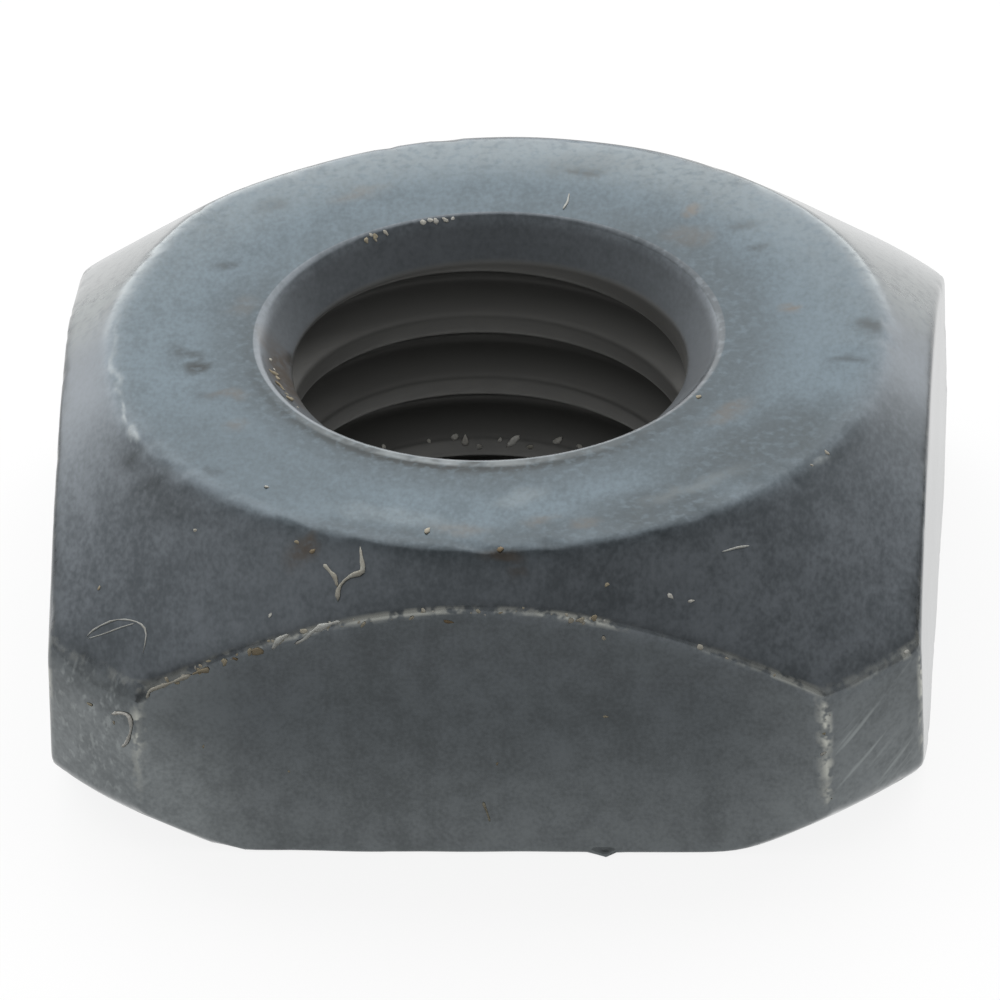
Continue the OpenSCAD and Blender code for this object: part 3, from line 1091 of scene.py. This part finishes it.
def oxide_steel(group):
    """Dark blue-grey oxide film: mottled, with colours set face by face partly as painted light and shade,
    drawn in streaks down the sides, painted paler towards foot and corners as partly rubbing and partly
    painted highlight, stained and pitted on top, darkened in the countersink with painted shade, grimy in the
    bore, and bare at the rim, brightest at the front left as a painted highlight, and in places along the
    edges."""
    material, tree, shader = new_material("oxide_steel")
    place = millimetres(tree)
    side = mask(tree, "side")
    inside = mask(tree, "inside")
    cone = mask(tree, "cone")
    drawn = add(tree, "ShaderNodeMapping", {"Vector": place, "Scale": (1, GRAIN_DRAW, 1)}).outputs[0]
    streaks = add(tree, "ShaderNodeMapping", {"Vector": place, "Scale": STREAK_SCALE}).outputs[0]
    streaks = sums(tree, "SUBTRACT", speckle(tree, streaks, STREAK_LUMPS, STREAK_DETAIL), NOISE_MIDDLE)
    even = mottled(tree, group, drawn, 1.0)
    mottle = sums(tree, "MULTIPLY_ADD", times(tree, streaks, side), STREAK_WEIGHT, third=even)
    shade = stretch(tree, mottle, *SHADE_RANGE)

    # Each face's film colours are set to the brightness that face shows: partly own tone, partly painted
    # light and shade
    flats = blend(tree, shade, FLAT_DARK, FLAT_PALE)
    # Paler towards foot, corners and right flat: partly rubbed film, partly painted highlight
    rubbed = times(tree, mask(tree, "rubbed"), stretch(tree, mottle, *RUB_AND_HIGHLIGHT_RANGE))
    flats = blend(tree, rubbed, flats, RUB_AND_HIGHLIGHT_COLOUR)
    chamfers = blend(tree, shade, CHAMFER_DARK, CHAMFER_PALE)
    top = blend(tree, shade, TOP_DARK, TOP_PALE)
    film = blend(tree, side, blend(tree, mask(tree, "top_face"), chamfers, top), flats)

    speck = patches(tree, place, *SPECKS)
    pit = times(tree, mask(tree, "stain"), speck)
    film = blend(tree, pit, film, DARK_MARK)
    film = blend(tree, times(tree, mask(tree, "brown"), speck), film, BROWN_MARK)
    film = blend(tree, times(tree, mask(tree, "pale"), speck), film, PALE_MARK)
    ways = {"Vector": place, "Rotation": SCRATCH_TURN, "Scale": SCRATCH_SIZE}
    scratched = add(tree, "ShaderNodeMapping", ways, vector_type="TEXTURE").outputs[0]
    scratch = times(tree, mask(tree, "corner"), patches(tree, scratched, *SCRATCHES))
    film = blend(tree, times(tree, scratch, SCRATCH_SHARE), film, PALE_MARK)
    worn = times(tree, mask(tree, "worn"), patches(tree, place, *BEADS))
    film = blend(tree, worn, film, EDGE_WEAR)

    # Countersink darkened: painted shade
    film = blend(tree, times(tree, cone, CONE_SHADE_SHARE), film, CONE_PAINTED_SHADE)
    film = blend(tree, times(tree, inside, BORE_SHARE), film, BORE_GRIME)
    edge = sums(tree, "ADD", mask(tree, "chamfer_edge"), mask(tree, "corner_edge"), clamp=True)
    fleck = times(tree, stretch(tree, edge, *FLECK_REACH), patches(tree, place, *FLECKS))
    film = blend(tree, times(tree, fleck, FLECK_SHARE), film, EDGE_WEAR)
    # Bare steel at the rim, brightest at the front left: wear with a painted highlight
    rim = times(tree, mask(tree, "rim"), patches(tree, place, *RIM_PATCHES))
    film = blend(tree, rim, film, BARE_STEEL_GLINT)
    tree.links.new(film, shader.inputs["Base Color"])

    roughness = stretch(tree, mottle, *ROUGHNESS_RANGE)
    smooth = sums(tree, "ADD", side, mask(tree, "smooth"), clamp=True)
    roughness = stretch(tree, smooth, 0.0, 1.0, roughness, SMOOTH_ROUGHNESS)
    roughness = sums(tree, "MULTIPLY_ADD", cone, CONE_ROUGHNESS, third=roughness)
    roughness = sums(tree, "MULTIPLY_ADD", pit, STAIN_ROUGHNESS, third=roughness)
    tree.links.new(roughness, shader.inputs["Roughness"])
    metal = sums(tree, "SUBTRACT", 1.0, times(tree, inside, BORE_DULLNESS))
    tree.links.new(metal, shader.inputs["Metallic"])
    return material


def dirt(name, group, dark, middle, pale):
    """Dull dry dirt in three colours, and white past them as painted light, by the tone of each bit,
    unevenly shaded.
    """
    material, tree, shader = new_material(name)
    tone = mask(tree, "tone")
    colour = dark
    # Paleness past 1 goes to white: painted light
    for low, high, paler in zip(TONE_STEPS, TONE_STEPS[1:], (middle, pale, PAINTED_LIGHT_WHITE)):
        colour = blend(tree, stretch(tree, tone, low, high), colour, paler)
    shade = stretch(tree, mottled(tree, group, millimetres(tree), DIRT_MOTTLE), *DIRT_SHADE)
    tree.links.new(blend(tree, shade, colour, dark), shader.inputs["Base Color"])
    shader.inputs["Roughness"].default_value = DIRT_ROUGHNESS
    shader.inputs["Specular IOR Level"].default_value = DIRT_GLOSS
    return material


# Stage and light

# Half width of the floor, in metres
FLOOR_HALF = 1.5
# The floor lies this far below the nut, in millimetres, so that the two don't share a plane
FLOOR_DROP = 0.02
# The floor's own grey, the glow that is added to it where it shows, and the world's grey
FLOOR_GREY = 0.14
FLOOR_GLOW = 0.87
WORLD_GREY = 0.33
# Distance of the lamps from the nut, in metres
LAMP_DISTANCE = 0.45
# Lamps: azimuth and elevation in degrees, width and height in metres, and brightness
LAMPS = {
    "back_lamp": (180, 38, 1.0, 0.62, 1.36),
    "left_lamp": (-152, 24, 0.40, 0.36, 1.42),
    "right_lamp": (157, 24, 0.34, 0.36, 1.08),
    "left_fill": (-102, 36, 0.40, 0.44, 0.42),
    "right_fill": (80, 42, 0.40, 0.40, 0.16),
    "front_lamp": (-40, 62, 0.40, 0.35, 0.25),
    "low_front": (0, 18, 0.70, 0.28, 0.25),
    "low_left": (-90, 8, 0.50, 0.12, 0.45),
    "low_right": (80, 17, 0.40, 0.26, 0.25),
}


def seen_plainly(tree):
    """Output that is 1 for rays from the camera, from gloss or through glass, and 0 for soft light."""
    path = add(tree, "ShaderNodeLightPath").outputs
    shown = sums(tree, "ADD", path["Is Camera Ray"], path["Is Glossy Ray"], clamp=True)
    return sums(tree, "ADD", shown, path["Is Transmission Ray"], clamp=True)


def floor():
    """Pale floor that shows white and keeps the shadow: its own grey, plus a glow that fills it up to white
    for the rays that show it. It is open from below."""
    material, tree, shader = new_material("floor")
    shader.inputs["Base Color"].default_value = (FLOOR_GREY, FLOOR_GREY, FLOOR_GREY, 1)
    shader.inputs["Roughness"].default_value = 1.0
    shader.inputs["Specular IOR Level"].default_value = 0.0
    glow = add(tree, "ShaderNodeEmission", {"Strength": times(tree, seen_plainly(tree), FLOOR_GLOW)})
    lit = add(tree, "ShaderNodeAddShader", {0: shader.outputs[0], 1: glow.outputs[0]})
    behind = add(tree, "ShaderNodeNewGeometry").outputs["Backfacing"]
    clear = add(tree, "ShaderNodeBsdfTransparent")
    either = add(tree, "ShaderNodeMixShader", {0: behind, 1: lit.outputs[0], 2: clear.outputs[0]})
    tree.links.new(either.outputs[0], tree.nodes["Material Output"].inputs["Surface"])
    corners = np.array([(-1, -1), (1, -1), (1, 1), (-1, 1)]) * FLOOR_HALF / MM
    points = np.column_stack([corners, np.full(len(corners), -FLOOR_DROP)])
    new_piece("floor", points, [np.array([[0, 1, 2, 3]])], material)


def world():
    """Soft grey light from all round."""
    scene_world = bpy.data.worlds.new("studio")
    scene_world.use_nodes = True
    background = scene_world.node_tree.nodes["Background"]
    background.inputs["Color"].default_value = (1, 1, 1, 1)
    background.inputs["Strength"].default_value = WORLD_GREY
    bpy.context.scene.world = scene_world


def softbox(name, azimuth, elevation, width, height, brightness):
    """Area lamp in that direction from the nut, turned to face it. Its power is its brightness times its area
    times pi."""
    data = bpy.data.lights.new(name, "AREA")
    data.shape = "RECTANGLE"
    data.size = width
    data.size_y = height
    data.energy = brightness * width * height * math.pi
    turn, lift = math.radians(azimuth), math.radians(elevation)
    out = Vector((math.sin(turn) * math.cos(lift), -math.cos(turn) * math.cos(lift), math.sin(lift)))
    lamp = bpy.data.objects.new(name, data)
    lamp.location = Vector((0, 0, HEIGHT / 2 * MM)) + out * LAMP_DISTANCE
    lamp.rotation_euler = out.to_track_quat("Z", "Y").to_euler()
    bpy.context.collection.objects.link(lamp)


def lights():
    """A wide lamp behind the nut with one at either side of it, two fills beside the nut, one high at the
    front left, and three low ones at the front and the sides."""
    for name, values in LAMPS.items():
        softbox(name, *values)


bpy.context.scene.view_settings.view_transform = "Standard"
photo_camera()
floor()
world()
lights()
group = mottled_group()
nut = nut_skin(oxide_steel(group))
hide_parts("square_nut")
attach(nut, "root")
skin = skin_tree(nut)
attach(crumbs(skin, dirt("crumb_dirt", group, CRUMB_BROWN, CRUMB_TAN, CRUMB_PALE)), "root")
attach(lint(skin, dirt("lint_fibre", group, CRUMB_BROWN, LINT_TAN, LINT_PALE)), "root")
